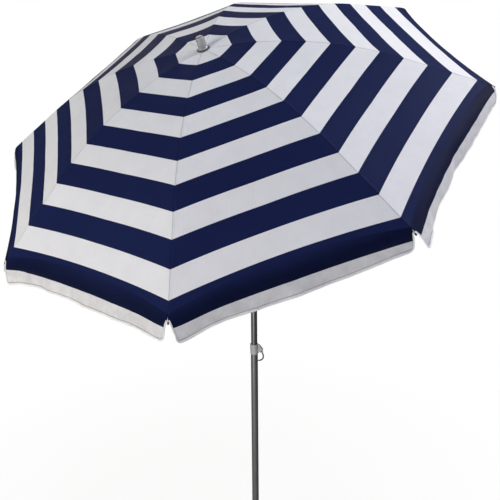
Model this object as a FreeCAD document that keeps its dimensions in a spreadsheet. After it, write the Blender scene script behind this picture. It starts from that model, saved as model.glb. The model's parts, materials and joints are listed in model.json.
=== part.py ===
import FreeCAD, Part
import math
import os

# Tilting beach umbrella: two-part telescoping steel mast, tilt knuckle, eight curved rod ribs with
# stretchers on a sliding runner, and a striped octagonal canopy with a valance, held as half panels.
# Millimetres. Origin on the mast axis at the sand line, +Z up the mast, the canopy leans towards -Y.

doc = FreeCAD.newDocument("beach_umbrella")
sheet = doc.addObject("Spreadsheet::Sheet", "dims")
V = FreeCAD.Vector

DIMS = [
    ("lower_r", 16.0), ("lower_wall", 1.2), ("lower_z0", -300.0), ("lower_len", 975.0),
    ("upper_r", 14.0), ("upper_wall", 1.0), ("upper_z0", 365.0), ("upper_end", 1312.0),
    ("knuckle_z", 1345.0), ("spike_len", 95.0), ("spike_tip_r", 3.0), ("spike_plug", 30.0),
    ("collar_z0", 631.0), ("collar_z1", 680.0), ("collar_r0", 17.2), ("collar_r", 19.2), ("collar_lip", 5.0),
    ("hook_az", 26.7), ("hook_pivot_r", 32.0), ("hook_pivot_z", 644.0), ("hook_pin_r", 2.0),
    ("bush_len", 24.0), ("fork_r", 17.5), ("ear_in", 9.5), ("ear_out", 15.5), ("ear_half", 15.0),
    ("pin_r", 4.0), ("tilt_deg", 32.11), ("crown_above", 698.6), ("top_tube_end", -8.0),
    ("rib_az", 14.09), ("rib_count", 8), ("rib_rod_r", 1.75), ("pivot_r", 22.0), ("rib_slope0", -1.8),
    ("rib_slope1", 27.84), ("rib_bend_len", 665.8), ("rib_len", 984.0), ("joint_at", 270.0),
    ("joint_drop", 7.0), ("stretcher_len", 330.0), ("runner_pivot_r", 23.0), ("runner_z", -284.0),
    ("crown_r", 27.0), ("cap_h", 44.5), ("cloth", 1.2), ("cloth_off", 4.6), ("stripe", 83.96),
    ("stripe_first", 82.6), ("rim_k", 11.58), ("valance_corner", 66.0), ("valance_mid", 104.0), ("bend_over", 38.0),
    ("play", 0.06), ("line_z", 10.0), ("line_w", 2.0), ("line_deep", 0.3),
]
for row, (name, value) in enumerate(DIMS, start=1):
    sheet.set("A%d" % row, name)
    sheet.set("B%d" % row, repr(value))
    sheet.setAlias("B%d" % row, name)
doc.recompute()


def d(name):
    return float(getattr(sheet, name))


finals = []


def keep(obj, label):
    obj.Label = label
    finals.append(obj)
    return obj


def cylinder(name, radius, height, z):
    c = doc.addObject("Part::Cylinder", name)
    c.setExpression("Radius", radius)
    c.setExpression("Height", height)
    c.setExpression("Placement.Base.z", z)
    return c


def cut(name, base, tool):
    c = doc.addObject("Part::Cut", name)
    c.Base, c.Tool = base, tool
    return c


def fuse(name, shapes):
    f = doc.addObject("Part::MultiFuse", name)
    f.Shapes = shapes
    return f


def feature(name, shape, placement=None):
    f = doc.addObject("Part::Feature", name)
    f.Shape = shape if shape.Placement.isIdentity() else Part.makeCompound([shape])
    f.Placement = placement or FreeCAD.Placement()
    return keep(f, name)


def cyl(r, length, at, along):
    return Part.makeCylinder(r, length, V(*at), V(*along))


def box(x0, x1, y0, y1, z0, z1):
    return Part.makeBox(x1 - x0, y1 - y0, z1 - z0, V(x0, y0, z0))


def revolve(points):
    wire = Part.makePolygon([V(r, 0, z) for r, z in points] + [V(points[0][0], 0, points[0][1])])
    return Part.Face(wire).revolve(V(0, 0, 0), V(0, 0, 1), 360)


TURN_Z = lambda deg: FreeCAD.Placement(V(0, 0, 0), FreeCAD.Rotation(V(0, 0, 1), deg))
KNUCKLE = V(0, 0, d("knuckle_z"))
# canopy frame: origin in the crown's pivot plane, +Z up the tilted axis
CANOPY = FreeCAD.Placement(KNUCKLE, FreeCAD.Rotation(V(1, 0, 0), d("tilt_deg"))).multiply(
    FreeCAD.Placement(V(0, 0, d("crown_above")), FreeCAD.Rotation()))
TILTED = FreeCAD.Placement(KNUCKLE, FreeCAD.Rotation(V(1, 0, 0), d("tilt_deg")))

# ---------------------------------------------------------------- lower mast
outer = cylinder("lower_outer", "dims.lower_r", "dims.lower_len", "dims.lower_z0")
bore = cylinder("lower_bore", "dims.lower_r - dims.lower_wall", "dims.lower_len + 2", "dims.lower_z0 - 1")
tube = cut("lower_hollow", outer, bore)
hole = doc.addObject("Part::Cylinder", "hook_hole")
hole.setExpression("Radius", "2.6")
hole.Height = 30
hole.Placement = FreeCAD.Placement(V(0, 0, 596), FreeCAD.Rotation(V(0, 0, 1), d("hook_az"))).multiply(
    FreeCAD.Placement(V(0, 0, 0), FreeCAD.Rotation(V(0, 1, 0), 90)))
tube = cut("lower_pierced", tube, hole)
line_outer = cylinder("line_outer", "dims.lower_r + 1", "dims.line_w", "dims.line_z")
line_inner = cylinder("line_inner", "dims.lower_r - dims.line_deep", "dims.line_w + 2", "dims.line_z - 1")
keep(cut("lower_tube", tube, cut("depth_line", line_outer, line_inner)), "lower_mast_tube")

point = doc.addObject("Part::Cone", "spike_point")
point.setExpression("Radius1", "dims.spike_tip_r")
point.setExpression("Radius2", "dims.lower_r")
point.setExpression("Height", "dims.spike_len")
point.setExpression("Placement.Base.z", "dims.lower_z0 - dims.spike_len")
plug = cylinder("spike_plug_body", "dims.lower_r - dims.lower_wall", "dims.spike_plug + 1", "dims.lower_z0 - 1")
keep(fuse("spike", [point, plug]), "ground_spike")

collar_az = TURN_Z(d("hook_az"))
zc0, zc1 = d("collar_z0"), d("collar_z1")
collar = revolve([(d("lower_r"), zc0), (d("collar_r0"), zc0), (d("collar_r0") + 0.6, zc0 + 3.0), (d("collar_r"), zc1 - 4.0), (d("collar_r"), zc1 - 1.6), (d("collar_r") - 1.6, zc1),
                  (d("upper_r") + 0.1, zc1), (d("upper_r") + 0.1, zc1 - d("collar_lip")), (d("lower_r"), zc1 - d("collar_lip"))])
ears = []
for side in (-1, 1):
    y0, y1 = (5.2, 8.4) if side > 0 else (-8.4, -5.2)
    profile = [(15.2, 678.0), (22.0, 676.0), (39.0, 652.0), (40.5, 643.0), (37.5, 637.0), (31.0, 636.6), (24.0, 640.0), (19.0, 637.0), (15.2, 637.0)]
    wire = Part.makePolygon([V(x, y0, z) for x, z in profile] + [V(profile[0][0], y0, profile[0][1])])
    ears.append(Part.Face(wire).extrude(V(0, y1 - y0, 0)))
web = Part.Face(Part.makePolygon([V(x, -5.3, z) for x, z in
                [(15.2, 678.0), (22.0, 676.0), (26.0, 670.0), (24.5, 657.0), (22.8, 645.0), (19.0, 638.0), (15.2, 638.0), (15.2, 678.0)]])).extrude(V(0, 10.6, 0))
collar = collar.fuse(ears + [web]).cut(cyl(d("lower_r"), 49.0, (0, 0, 626.0), (0, 0, 1))).cut(cyl(d("upper_r") + 0.1, 80.0, (0, 0, 620.0), (0, 0, 1)))
collar = collar.cut(cyl(d("hook_pin_r"), 30.0, (d("hook_pivot_r"), -15.0, d("hook_pivot_z")), (0, 1, 0)))
collar = collar.removeSplitter()
feature("mast_collar", collar, collar_az)

pin = cyl(d("hook_pin_r"), 17.6, (d("hook_pivot_r"), -8.8, d("hook_pivot_z")), (0, 1, 0))
pin = pin.fuse([cyl(3.2, 1.2, (d("hook_pivot_r"), -9.6, d("hook_pivot_z")), (0, 1, 0)), cyl(3.2, 1.2, (d("hook_pivot_r"), 8.4, d("hook_pivot_z")), (0, 1, 0))])
feature("hook_pin", pin, collar_az)

# the spring-latch hook: boss on its pin, a bowed arm and a nose that drops into the lower tube's hole
arm_line = Part.BSplineCurve()
arm_line.interpolate([V(33.0, 0, 641.0), V(39.0, 0, 627.0), V(41.0, 0, 614.0), V(37.5, 0, 603.0), V(30.0, 0, 597.5), V(22.5, 0, 596.0)])
arm_wire = Part.Wire([arm_line.toShape()])
start = Part.Wire(Part.makeCircle(3.1, V(33.0, 0, 641.0), arm_line.tangent(0)[0]))
arm = arm_wire.makePipeShell([start], True, False)
nose = cyl(2.3, 8.7, (14.6, 0, 596.0), (1, 0, 0))
boss = cyl(5.6, 10.0, (d("hook_pivot_r"), -5.0, d("hook_pivot_z")), (0, 1, 0))
hook = boss.fuse([arm, nose]).cut(cyl(d("hook_pin_r") + d("play"), 30.0, (d("hook_pivot_r"), -15.0, d("hook_pivot_z")), (0, 1, 0)))
feature("collar_hook", hook, collar_az)

# ---------------------------------------------------------------- upper mast with the tilt fork
outer = cylinder("upper_outer", "dims.upper_r", "dims.upper_end - dims.upper_z0", "dims.upper_z0")
bore = cylinder("upper_bore", "dims.upper_r - dims.upper_wall", "dims.upper_end - dims.upper_z0 + 2", "dims.upper_z0 - 1")
keep(cut("upper_tube", outer, bore), "upper_mast_tube")
bush_a = cylinder("bush_ring", "dims.lower_r - dims.lower_wall - dims.play", "dims.bush_len", "dims.upper_z0 - dims.bush_len")
bush_b = cylinder("bush_plug", "dims.upper_r - dims.upper_wall", "dims.bush_len", "dims.upper_z0 - 1")
bush_c = cylinder("bush_bore", "9", "dims.bush_len * 3", "dims.upper_z0 - dims.bush_len * 1.5")
keep(cut("bush", fuse("bush_solid", [bush_a, bush_b]), bush_c), "slide_bush")

zk = d("knuckle_z")
fork = cyl(d("fork_r"), 54.0, (0, 0, zk - 80.0), (0, 0, 1)).cut(cyl(d("upper_r"), 47.0, (0, 0, zk - 80.0), (0, 0, 1)))
parts_ = []
for x0, x1 in ((-d("ear_out"), -d("ear_in")), (d("ear_in"), d("ear_out"))):
    parts_.append(box(x0, x1, -d("ear_half"), d("ear_half"), zk - 33.1, zk))
    parts_.append(cyl(d("ear_half"), x1 - x0, (x0, 0, zk), (1, 0, 0)))
ring = cyl(12.0, 5.6, (d("ear_out"), 0, zk), (1, 0, 0)).cut(cyl(8.3, 6.0, (d("ear_out"), 0, zk), (1, 0, 0)))
fork = fork.fuse(parts_ + [ring])
fork = fork.cut(box(-d("ear_in"), d("ear_in"), -30, 30, zk - 26.0, zk + 40))
fork = fork.cut(cyl(d("upper_r"), 47.0, (0, 0, zk - 80.0), (0, 0, 1)))
fork = fork.cut(cyl(d("pin_r"), 32.2, (-16.0, 0, zk), (1, 0, 0)))
fork = fork.removeSplitter()
feature("tilt_fork", fork)

pin = cyl(d("pin_r"), 33.2, (-17.7, 0, zk), (1, 0, 0)).fuse(cyl(7.0, 2.5, (-18.0, 0, zk), (1, 0, 0)))
feature("tilt_pin", pin)
button = cyl(8.1, 5.6, (19.0, 0, zk), (1, 0, 0)).cut(cyl(6.3, 3.6, (18.9, 0, zk), (1, 0, 0)))
button = button.makeFillet(0.8, [e for e in button.Edges if abs(e.BoundBox.XMin - 24.6) < 1e-6 and abs(e.BoundBox.XMax - 24.6) < 1e-6])
feature("tilt_button", button)
# hairpin leaf spring between the fork ear and the button, drawn at its pressed length
hairpin = [Part.makeLine(V(15.55, 4.2, 0), V(15.55, -5.2, 0)), Part.makeLine(V(15.55, -5.2, 0), V(16.0, -5.2, 0)),
           Part.makeLine(V(16.0, -5.2, 0), V(16.0, 4.2, 0)), Part.Arc(V(16.0, 4.2, 0), V(16.55, 4.75, 0), V(17.1, 4.2, 0)).toShape(),
           Part.makeLine(V(17.1, 4.2, 0), V(18.9, -4.5, 0)), Part.makeLine(V(18.9, -4.5, 0), V(19.35, -4.5, 0)),
           Part.makeLine(V(19.35, -4.5, 0), V(17.55, 4.2, 0)), Part.Arc(V(17.55, 4.2, 0), V(16.55, 5.2, 0), V(15.55, 4.2, 0)).toShape()]
leaf = Part.Face(Part.Wire(Part.__sortEdges__(hairpin))).extrude(V(0, 0, 6.0))
leaf.translate(V(0, 0, zk - 3.0))
feature("button_spring", leaf)

# ---------------------------------------------------------------- top mast, tilts with the canopy
tongue = cyl(d("fork_r"), 40.0, (0, 0, 26.0), (0, 0, 1))
tongue = tongue.fuse([box(-9.2, 9.2, -13.0, 13.0, 0, 30.0), cyl(13.0, 18.4, (-9.2, 0, 0), (1, 0, 0))])
tongue = tongue.cut(cyl(d("upper_r"), 47.0, (0, 0, 38.0), (0, 0, 1))).cut(cyl(d("pin_r") + d("play"), 30.0, (-15.0, 0, 0), (1, 0, 0)))
feature("tilt_tongue", tongue.removeSplitter(), TILTED)
top_len = d("crown_above") - 38.0 + d("top_tube_end")
outer = cylinder("top_outer", "dims.upper_r", "dims.crown_above - 38 + dims.top_tube_end", "38")
bore = cylinder("top_bore", "dims.upper_r - dims.upper_wall", "dims.crown_above + 2", "37")
top = cut("top_tube", outer, bore)
top.Placement = TILTED
keep(top, "top_mast_tube")

# ---------------------------------------------------------------- crown, ring wire, washer, cap
AZ = [d("rib_az") + 45.0 * i for i in range(int(d("rib_count")))]


def octagon_wire(radius, wire_r):
    solids = []
    corner = radius / math.cos(math.radians(22.5))
    pts = [V(corner * math.cos(math.radians(a + 22.5)), corner * math.sin(math.radians(a + 22.5)), 0) for a in AZ]
    for i in range(8):
        p, q = pts[i], pts[(i + 1) % 8]
        solids.append(Part.makeCylinder(wire_r, (q - p).Length, p, q - p))
        solids.append(Part.makeSphere(wire_r, p))
    return solids[0].fuse(solids[1:])


crown = revolve([(0, -40), (d("upper_r") - d("upper_wall"), -40), (d("upper_r") - d("upper_wall"), -8), (d("crown_r") - 4, -8), (d("crown_r"), -5),
                 (d("crown_r"), 1.6), (d("crown_r") - 0.9, 2.5), (5.0, 2.5), (5.0, 22.0), (3.6, 24.0), (0, 24.0)])
slots = [box(17.6, 40.0, -2.1, 2.1, -20.0, 10.0) for _ in AZ]
for a, s_ in zip(AZ, slots):
    s_.rotate(V(0, 0, 0), V(0, 0, 1), a)
ring = octagon_wire(d("pivot_r"), 1.0)
crown = crown.cut(slots).cut(ring)
feature("crown", crown, CANOPY)
feature("crown_ring_wire", ring, CANOPY)
washer = revolve([(5.06, 6.2), (20.0, 6.2), (24.0, 5.4), (24.2, 6.3), (20.0, 7.6), (5.06, 7.6)])
feature("canopy_washer", washer, CANOPY)
h = 7.9 + d("cap_h")
cap = revolve([(0, 24.3), (3.8, 24.3), (5.06, 22.2), (5.06, 7.9), (17.3, 7.9), (17.4, 10.6), (16.3, 12.0), (15.9, 28.0), (15.6, h - 12.4), (15.0, h - 6.2), (12.8, h - 2.4),
               (7.0, h - 0.5), (0, h)])
feature("canopy_cap", cap, CANOPY)


# ---------------------------------------------------------------- rib line, fabric surface
def rib_point(s_, off=0.0):
    """(r, z) on the rib's bent centre line at length s_ from its pivot, moved out along the normal by off."""
    f0, f1, bend = math.radians(d("rib_slope0")), math.radians(d("rib_slope1")), d("rib_bend_len")
    kappa = (f1 - f0) / bend
    sb = min(s_, bend)
    f = f0 + kappa * sb
    r = d("pivot_r") + (math.sin(f) - math.sin(f0)) / kappa
    z = (math.cos(f) - math.cos(f0)) / kappa
    if s_ > bend:
        r += (s_ - bend) * math.cos(f1)
        z -= (s_ - bend) * math.sin(f1)
    return r + off * math.sin(f), z + off * math.cos(f), f


def stretch_frame():
    r, z, f = rib_point(d("joint_at"))
    return r - d("joint_drop") * math.sin(f), z - d("joint_drop") * math.cos(f), f


JR, JZ, JF = stretch_frame()
# runner pivot plane follows from the stretcher length
RUN_Z = JZ - math.sqrt(d("stretcher_len") ** 2 - (JR - d("runner_pivot_r")) ** 2)
TURNS = [FreeCAD.Placement(V(0, 0, 0), FreeCAD.Rotation(V(0, 0, 1), a)) for a in AZ]


def on_canopy(i):
    return CANOPY.multiply(TURNS[i])


def xz(r, z, y=0.0):
    return V(r, y, z)


def arc_points(s0, s1, off=0.0, rev=False):
    a, b, c = [rib_point(s_, off)[:2] for s_ in (s0, (s0 + s1) / 2, s1)]
    return Part.Arc(xz(*a), xz(*b), xz(*c)).toShape()


bend = d("rib_bend_len")
r0, z0, f0 = rib_point(2.4)
rib_wire = Part.Wire([arc_points(2.4, bend), Part.makeLine(xz(*rib_point(bend)[:2]), xz(*rib_point(d("rib_len"))[:2]))])
rib_rod = rib_wire.makePipeShell([Part.Wire(Part.makeCircle(d("rib_rod_r"), xz(r0, z0), V(math.cos(f0), 0, -math.sin(f0))))], True, False)
eye = cyl(3.3, 3.4, (d("pivot_r"), -1.7, 0), (0, 1, 0))
rib_shape = rib_rod.fuse(eye).cut(cyl(1.0 + d("play"), 8.0, (d("pivot_r"), -4.0, 0), (0, 1, 0)))

# stretcher bracket, its rivet and the rib's end cap, in the rib's own plane
bracket_place = FreeCAD.Placement(xz(*rib_point(d("joint_at"))[:2]), FreeCAD.Rotation(V(0, 1, 0), math.degrees(JF)))
bracket = box(-8.0, 8.0, -3.6, 3.6, -10.2, 2.1).cut([box(-9.0, 9.0, -1.7, 1.7, -11.0, -2.7), cyl(d("rib_rod_r") + 0.05, 20.0, (-10.0, 0, 0), (1, 0, 0)),
                                                    cyl(1.5, 10.0, (0, -5.0, -d("joint_drop")), (0, 1, 0))])
bracket = bracket.makeFillet(1.2, [e for e in bracket.Edges if e.Length > 15.9 and e.BoundBox.ZMin > 2.0])
rivet = cyl(1.5, 7.2, (0, -3.6, -d("joint_drop")), (0, 1, 0)).fuse([cyl(2.5, 0.9, (0, -4.5, -d("joint_drop")), (0, 1, 0)), cyl(2.5, 0.9, (0, 3.6, -d("joint_drop")), (0, 1, 0))])
tip_r, tip_z, tip_f = rib_point(d("rib_len"))
tip_place = FreeCAD.Placement(xz(tip_r, tip_z), FreeCAD.Rotation(V(0, 1, 0), math.degrees(tip_f)))
tip = Part.makeCylinder(2.7, 6.5, V(-5.0, 0, 0), V(1, 0, 0)).fuse(Part.makeSphere(2.7, V(1.5, 0, 0))).cut(cyl(d("rib_rod_r") + 0.02, 10.0, (-10.0, 0, 0), (1, 0, 0)))

# stretcher between the rib bracket and the runner
span = V(JR - d("runner_pivot_r"), 0, JZ - RUN_Z)
length = span.Length
arm = Part.makeCylinder(d("rib_rod_r"), length - 34.0, V(16.0, 0, 0), V(1, 0, 0))
flat_a = box(0, 20.0, -1.45, 1.45, -2.4, 2.4)
flat_b = box(length - 22.0, length, -1.45, 1.45, -2.4, 2.4)
arm = arm.fuse([flat_a, flat_b, cyl(3.4, 2.9, (length, -1.45, 0), (0, 1, 0)), cyl(3.2, 2.9, (0, -1.45, 0), (0, 1, 0)), cyl(1.2, 8.4, (0, -4.2, 0), (0, 1, 0))])
arm = arm.cut(cyl(1.5 + d("play"), 8.0, (length, -4.0, 0), (0, 1, 0)))
arm_place = FreeCAD.Placement(xz(d("runner_pivot_r"), RUN_Z), FreeCAD.Rotation(V(0, 1, 0), -math.degrees(math.atan2(span.z, span.x))))

for i in range(8):
    n = i + 1
    feature("rib_%d" % n, rib_shape.copy(), on_canopy(i))
    group = []
    for s_, p_ in ((bracket, bracket_place), (rivet, bracket_place), (tip, tip_place)):
        c_ = s_.copy()
        c_.Placement = p_
        group.append(c_)
    feature("rib_fitting_%d" % n, Part.makeCompound(group), on_canopy(i))
    c_ = arm.copy()
    c_.Placement = arm_place
    feature("stretcher_%d" % n, c_, on_canopy(i))

# ---------------------------------------------------------------- runner and its latch
q = RUN_Z
rr = d("upper_r") + 0.1
runner = revolve([(rr, q - 42.0), (18.0, q - 42.0), (18.0, q - 3.0), (28.0, q - 3.0), (28.0, q + 5.0), (26.5, q + 6.5), (rr, q + 6.5)])
tools = []
for a in AZ:
    for t_ in (box(18.6, 40.0, -1.75, 1.75, q - 10.0, q + 20.0), box(21.6, 24.4, -4.6, 4.6, q - 10.0, q + 1.35)):
        t_.rotate(V(0, 0, 0), V(0, 0, 1), a)
        tools.append(t_)
runner = runner.cut(tools)
LATCH = d("rib_az") + 22.5
lugs = []
for y0, y1 in ((5.5, 7.8), (-7.8, -5.5)):
    lugs.append(box(16.0, 23.0, y0, y1, q - 31.0, q - 21.0))
lug = lugs[0].fuse(lugs[1]).cut([cyl(15.5, 60.0, (0, 0, q - 50.0), (0, 0, 1)), cyl(1.2 + d("play"), 20.0, (20.8, -10.0, q - 26.0), (0, 1, 0))])
window = box(12.0, 20.0, -5.2, 5.2, q - 17.5, q - 8.0)
for s_ in (lug, window):
    s_.rotate(V(0, 0, 0), V(0, 0, 1), LATCH)
runner = runner.cut(window).fuse(lug)
hole_ = cyl(1.2 + d("play"), 20.0, (20.8, -10.0, q - 26.0), (0, 1, 0))
hole_.rotate(V(0, 0, 0), V(0, 0, 1), LATCH)
runner = runner.cut(hole_)
feature("runner", runner, CANOPY)
lever = box(19.2, 22.4, -5.0, 5.0, q - 39.0, q - 9.0).fuse([box(14.4, 20.0, -4.6, 4.6, q - 14.5, q - 9.5), cyl(1.2, 15.4, (20.8, -7.7, q - 26.0), (0, 1, 0))])
feature("runner_latch", lever, CANOPY.multiply(TURN_Z(LATCH)))

# ---------------------------------------------------------------- canopy cloth, one half panel per node
C22, S22 = math.cos(math.radians(22.5)), math.sin(math.radians(22.5))


def cloth_point(k, w, side, off, lat):
    """Cloth outer face: k counts stripes from the cap, w runs 0 on the rib to 1 on the panel's centre line."""
    r, z, f = rib_point(d("stripe_first") + d("stripe") * (k - 1.0), d("cloth_off"))
    e = 2 * w - w * w
    shift_r = -(0.9 * k + 4.0 * (k / 11.0) ** 6) * e
    shift_z = (-3.0 * math.sin(math.pi * min(k, 7.0) / 7.0) + 8.4 * max(0.0, (k - 6.0) / 5.0) ** 1.4) * e
    rc = r * C22
    p = V(r, 0, z) * (1 - w) + V(rc * C22, side * rc * S22, z) * w
    p += V(C22 * shift_r, side * S22 * shift_r, shift_z)
    away = V(0, side, 0) * (lat * (1 - w)) + V(S22, -side * C22, 0) * (0.3 * w)
    n = V(math.sin(f) * 1.0, side * math.sin(f) * 0.3827 * w, math.cos(f))
    n.normalize()
    return p + away - n * off


def rim_k(w):
    return d("rim_k") - 0.27 * (2 * w - w * w)


def valance_point(w, depth_part, side, off, pull):
    """depth_part 0 at the rim seam, 1 at the hem; the cloth leaves along the panel and bends over to hang straight down."""
    e = 2 * w - w * w
    drop = (d("valance_corner") + (d("valance_mid") - d("valance_corner")) * e) * depth_part
    lat = 4.5 + 0.27 * drop
    half = 936.0 * S22
    we = w + (1 - w) * lat / half
    p = cloth_point(rim_k(we), we, side, 0.0, 0.0)
    leave = cloth_point(rim_k(we) + 0.03, we, side, 0.0, 0.0) - cloth_point(rim_k(we) - 0.03, we, side, 0.0, 0.0)
    leave.normalize()
    steps = 20
    for m in range(steps):
        f = math.exp(-drop * (m + 0.5) / steps / d("bend_over"))
        v = leave * f + pull * (1 - f)
        v.normalize()
        p += v * (drop / steps)
    out = V(C22 * we + (1 - we), side * S22 * we, 0)
    n = v.cross(V(-out.y, out.x, 0))
    n.normalize()
    if n.dot(out) < 0 and n.z < 0:
        n = n * -1
    return p + V(S22, -side * C22, 0) * (0.3 * w) - n * off


def panel_solid(side, pull):
    cols = [0.0, 0.34, 0.67, 1.0]
    k_first = (34.0 - d("pivot_r") - d("stripe_first")) / d("stripe") + 1.0
    rows = []
    for part in (0, 1):
        off = d("cloth") * part
        grid = []
        for k in [k_first, 1, 2, 3, 4, 5, 6, 7, 8, 9, 10, 11]:
            grid.append([cloth_point(k, w, side, off, 0.3) for w in cols])
        grid.append([cloth_point(rim_k(w), w, side, off, 4.5) for w in cols])
        for dp in (0.12, 0.3, 0.6, 1.0):
            grid.append([valance_point(w, dp, side, off, pull) for w in cols])
        rows.append(grid)
    top, low = rows
    m, n = len(top), len(cols)
    faces = []

    def tri(a, b, c):
        faces.append(Part.Face(Part.makePolygon([a, b, c, a])))

    def quad(a, b, c, d_):
        tri(a, b, c)
        tri(a, c, d_)

    for i in range(m - 1):
        for j in range(n - 1):
            quad(top[i][j], top[i + 1][j], top[i + 1][j + 1], top[i][j + 1])
            quad(low[i][j], low[i][j + 1], low[i + 1][j + 1], low[i + 1][j])
    for i in range(m - 1):
        quad(top[i][0], low[i][0], low[i + 1][0], top[i + 1][0])
        quad(top[i][n - 1], top[i + 1][n - 1], low[i + 1][n - 1], low[i][n - 1])
    for j in range(n - 1):
        quad(top[0][j], top[0][j + 1], low[0][j + 1], low[0][j])
        quad(top[m - 1][j], low[m - 1][j], low[m - 1][j + 1], top[m - 1][j + 1])
    solid = Part.Solid(Part.Shell(faces))
    if solid.Volume < 0:
        solid = solid.reversed()
    return solid


for i in range(8):
    for side, name, rib in ((1, "left", i), (-1, "right", (i + 1) % 8)):
        # straight down, as the rib of the tilted canopy sees it
        pull = on_canopy(rib).Rotation.inverted().multVec(V(0, 0, -1))
        feature("panel_%d_%s" % (i + 1, name), panel_solid(side, pull), on_canopy(rib))

doc.recompute()
for obj in doc.Objects:
    if "Invalid" in obj.State or "Error" in obj.State:
        raise RuntimeError("%s is %s" % (obj.Label, obj.State))
for obj in finals:
    if obj.Shape.isNull() or not obj.Shape.isValid():
        raise RuntimeError("%s has no valid shape" % obj.Label)

os.makedirs("parts", exist_ok=True)
for obj in finals:
    obj.Shape.exportStep("parts/%s.step" % obj.Label)
print("sub-parts:", len(finals))
print("runner pivot plane", round(RUN_Z, 3), "bracket rivet", round(JR, 3), round(JZ, 3), "volume ok",
      all(o.Shape.Volume > 0 for o in finals))
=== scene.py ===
import json
import math

import bpy
import numpy as np
from mathutils import Matrix, Vector, noise


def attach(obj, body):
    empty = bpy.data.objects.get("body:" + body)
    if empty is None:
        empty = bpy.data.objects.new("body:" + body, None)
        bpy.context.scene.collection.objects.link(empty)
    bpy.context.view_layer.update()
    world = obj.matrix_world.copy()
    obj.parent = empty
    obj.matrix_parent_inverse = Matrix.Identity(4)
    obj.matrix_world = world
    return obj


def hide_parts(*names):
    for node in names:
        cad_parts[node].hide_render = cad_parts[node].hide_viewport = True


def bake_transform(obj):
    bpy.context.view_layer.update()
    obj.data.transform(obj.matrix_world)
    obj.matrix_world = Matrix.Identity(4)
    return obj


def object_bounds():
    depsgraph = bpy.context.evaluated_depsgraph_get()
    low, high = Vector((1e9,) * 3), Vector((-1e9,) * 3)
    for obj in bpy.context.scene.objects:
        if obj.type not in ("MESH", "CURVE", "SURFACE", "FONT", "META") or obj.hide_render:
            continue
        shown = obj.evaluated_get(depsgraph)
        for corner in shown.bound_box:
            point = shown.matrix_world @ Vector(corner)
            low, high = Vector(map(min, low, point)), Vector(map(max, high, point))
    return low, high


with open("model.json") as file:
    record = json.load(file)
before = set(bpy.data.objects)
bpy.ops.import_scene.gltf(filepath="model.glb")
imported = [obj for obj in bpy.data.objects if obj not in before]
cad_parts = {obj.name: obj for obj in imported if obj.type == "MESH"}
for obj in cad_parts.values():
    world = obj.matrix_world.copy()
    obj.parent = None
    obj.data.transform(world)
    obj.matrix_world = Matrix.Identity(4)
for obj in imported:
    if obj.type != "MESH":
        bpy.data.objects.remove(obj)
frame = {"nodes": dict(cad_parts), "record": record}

# The looks of a tilting beach umbrella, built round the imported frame. Metres, in the row frame.
# The cloth is worked out in millimetres in the canopy's own frame (origin in the crown's pivot
# plane, +Z up the tilted axis), and turned into the row frame at the end.

LO0, HI0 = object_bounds()
scene = bpy.context.scene
nodes = frame["nodes"]

TILT = math.radians(32.11)
KNUCKLE, ABOVE = 1345.0, 698.6
AZ = [math.radians(14.09 + 45.0 * i) for i in range(8)]
C22, S22 = math.cos(math.radians(22.5)), math.sin(math.radians(22.5))
STRIPE0, STRIPE, RIM_K = 82.6, 83.96, 11.58
THICK = 0.6


# ------------------------------------------------------------------ frames
def to_row(p):
    """Canopy frame, mm -> row frame, m."""
    p = np.asarray(p, float)
    x, y, z = p[..., 0], p[..., 1], p[..., 2] + ABOVE
    c, s = math.cos(TILT), math.sin(TILT)
    return np.stack([x, y * c - z * s, y * s + z * c + KNUCKLE], -1) * 0.001


def turn_z(p, a):
    c, s = math.cos(a), math.sin(a)
    x, y, z = p[..., 0], p[..., 1], p[..., 2]
    return np.stack([x * c - y * s, x * s + y * c, z], -1)


def unit(v):
    return v / np.maximum(np.linalg.norm(v, axis=-1, keepdims=True), 1e-12)


def step(x, a, b):
    t = np.clip((x - a) / (b - a), 0.0, 1.0)
    return t * t * (3 - 2 * t)


# ------------------------------------------------------------------ the cloth's surface
def rib_line(s, off=0.0):
    """Radius, height and slope of the rib's bent line at length s, moved out by off."""
    f0, f1, b = math.radians(-1.8), math.radians(27.84), 665.8
    k = (f1 - f0) / b
    sb = np.minimum(s, b)
    f = f0 + k * sb
    r = 22.0 + (np.sin(f) - math.sin(f0)) / k
    z = (np.cos(f) - math.cos(f0)) / k
    over = np.maximum(s - b, 0.0)
    r = r + over * math.cos(f1)
    z = z - over * math.sin(f1)
    return r + off * np.sin(f), z + off * np.cos(f), f


def cloth(k, w, side):
    """A point on the outer face: k counts rings from the cap, w is 0 on the rib and 1 on the panel's middle."""
    r, z, f = rib_line(STRIPE0 + STRIPE * (k - 1.0), 4.6)
    e = 2 * w - w * w
    sr = -(0.9 * k + 4.0 * (k / 11.0) ** 6) * e
    sz = (-3.0 * np.sin(math.pi * np.minimum(k, 7.0) / 7.0) + 8.4 * np.maximum(0.0, (k - 6.0) / 5.0) ** 1.4) * e
    rc = r * C22
    x = r * (1 - w) + rc * C22 * w + C22 * sr
    y = side * rc * S22 * w + side * S22 * sr
    return np.stack([x, y, z + sz], -1)


def rim_k(w):
    return RIM_K - 0.27 * (2 * w - w * w)


# how each corner of the valance hangs: (rib, side) -> (flare outwards, slide along the rim, extra length), mm
CORNER = {(0, 1): (5, 2, 0), (0, -1): (-2, 2, 0), (1, 1): (6, 1, 3), (1, -1): (7, 2, 0), (2, 1): (8, 3, 2), (2, -1): (5, 0, 0),
          (3, 1): (8, 2, 0), (3, -1): (9, 2, 3), (4, 1): (6, 0, 0), (4, -1): (7, 3, 2), (5, 1): (2, 0, 2), (5, -1): (6, 1, 0),
          (6, 1): (4, 4, 16), (6, -1): (2, -4, 1), (7, 1): (22, 3, 0), (7, -1): (2, 0, -3)}
FINE = np.array([0.0, 0.6, 1.4, 2.4, 4.2, 6.6, 7.6, 8.8, 13.0])
FREE = 17


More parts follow.
